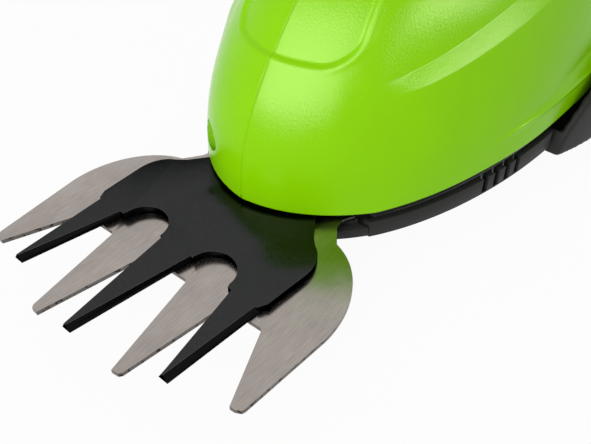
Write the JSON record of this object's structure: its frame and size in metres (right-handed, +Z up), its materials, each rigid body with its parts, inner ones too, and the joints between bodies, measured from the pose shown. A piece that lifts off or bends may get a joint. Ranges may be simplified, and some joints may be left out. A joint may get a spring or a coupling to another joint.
{
  "type": "cordless grass shears",
  "caption": "Cordless grass shears with a rounded green head, toothed steel blades in a clip-on cassette and a dark rear body with a loop handle and trigger.",
  "frame": {"origin": "on the floor under the seam, at the middle of the sole", "axes": "+Z up, +Y from the blades towards the tail, +X to the tool's left hand side when it is held with the blades forward and seen from above, so the teeth point along -Y"},
  "size_m": [0.115, 0.3057, 0.1075],
  "materials": {
    "green_plastic": "finely textured moulding with a soft sheen",
    "dark_plastic": "matte textured moulding",
    "black_plastic": "satin moulding",
    "soft_grip": "soft matte rubber",
    "blade_steel": "brushed along the teeth",
    "blade_black": "satin black coating with ground bevels",
    "plain_steel": "turned steel",
    "plated_steel": "zinc plated",
    "screw_steel": "dark zinc",
    "cast_alloy": "die cast",
    "magnet": "sintered ferrite",
    "bronze": "sintered bronze",
    "copper_winding": "enamelled copper on a steel core",
    "cell_sleeve": "shrink sleeve over the can",
    "circuit_board": "solder mask",
    "lead_cover": "soft insulation",
    "light_lens": "clear lens"
  },
  "bodies": {
    "main": {"head_left": "green_plastic", "head_right": "green_plastic", "body_left": "dark_plastic", "body_right": "dark_plastic", "grip_left": "soft_grip", "grip_right": "soft_grip", "gear_plate": "cast_alloy", "gear_cover": "black_plastic", "gear_spindle": "plain_steel", "motor_can": "plated_steel", "motor_end_cap": "black_plastic", "motor_magnets": "magnet", "motor_bushes": "bronze", "battery_cells": "cell_sleeve", "battery_holder": "black_plastic", "cell_straps": "plated_steel", "control_board": "circuit_board", "switch_body": "black_plastic", "charge_jack": "black_plastic", "charge_light": "light_lens", "motor_leads": "lead_cover", "battery_leads": "lead_cover", "switch_leads": "lead_cover", "trigger_pin": "plain_steel", "housing_screws": "screw_steel", "plate_screws": "screw_steel", "gearbox_screws": "screw_steel", "motor_screws": "screw_steel", "trigger_spring": "plain_steel", "lock_spring": "plain_steel"},
    "rotor": {"armature": "copper_winding", "pinion": "bronze"},
    "gear": {"drive_gear": "plated_steel", "crank_pin": "plain_steel"},
    "cassette": {"cassette_base": "dark_plastic", "lower_blade": "blade_steel", "blade_bolt": "plain_steel", "blade_nut": "plain_steel", "wave_washer": "plain_steel", "blade_rivets": "plain_steel"},
    "upper": {"upper_blade": "blade_black"},
    "arm_left": {"release_arm_left": "dark_plastic"},
    "arm_right": {"release_arm_right": "dark_plastic"},
    "trigger": {"trigger": "black_plastic"},
    "lock": {"lock_button": "black_plastic"},
    "plunger": {"switch_plunger": "black_plastic"}
  },
  "joints": [
    {"name": "motor_spin", "type": "hinge", "parent": "main", "child": "rotor", "pos_m": [0, -0.08595, 0.03], "axis": [0, 0, 1], "continuous": true},
    {"name": "gear_spin", "type": "hinge", "parent": "main", "child": "gear", "pos_m": [0, -0.11, 0.015], "axis": [0, 0, 1], "continuous": true},
    {"name": "cassette_drop", "type": "slide", "parent": "main", "child": "cassette", "axis": [0, 0, -1], "range_m": [0, 0.012]},
    {"name": "blade_swing", "type": "hinge", "parent": "cassette", "child": "upper", "pos_m": [0, -0.14, 0.007], "axis": [0, 0, 1], "range_deg": [-5.35, 10.75]},
    {"name": "arm_left_press", "type": "hinge", "parent": "cassette", "child": "arm_left", "pos_m": [-0.03, -0.1365, 0.0045], "axis": [0, 0, 1], "range_deg": [-2.4, 0], "stiffness_Nm_per_rad": 2, "springref_deg": 0.57},
    {"name": "arm_right_press", "type": "hinge", "parent": "cassette", "child": "arm_right", "pos_m": [0.03, -0.1365, 0.0045], "axis": [0, 0, 1], "range_deg": [0, 2.4], "stiffness_Nm_per_rad": 2, "springref_deg": -0.57},
    {"name": "trigger_pull", "type": "hinge", "parent": "main", "child": "trigger", "pos_m": [0, -0.012, 0.082], "axis": [1, 0, 0], "range_deg": [0, 7], "stiffness_Nm_per_rad": 0.4, "springref_deg": -5.73, "deforming": ["trigger_spring"]},
    {"name": "lock_press", "type": "slide", "parent": "main", "child": "lock", "axis": [0, 0, -1], "range_m": [0, 0.003], "stiffness_N_per_m": 300, "springref_m": -0.003, "deforming": ["lock_spring"]},
    {"name": "plunger_press", "type": "slide", "parent": "main", "child": "plunger", "axis": [0, 0, 1], "range_m": [0, 0.0021]}
  ],
  "couplings": [
    {"joint": "gear_spin", "follows": "motor_spin", "ratio": -0.33333},
    {"joint": "plunger_press", "follows": "trigger_pull", "m_per_rad": 0.01637}
  ]
}
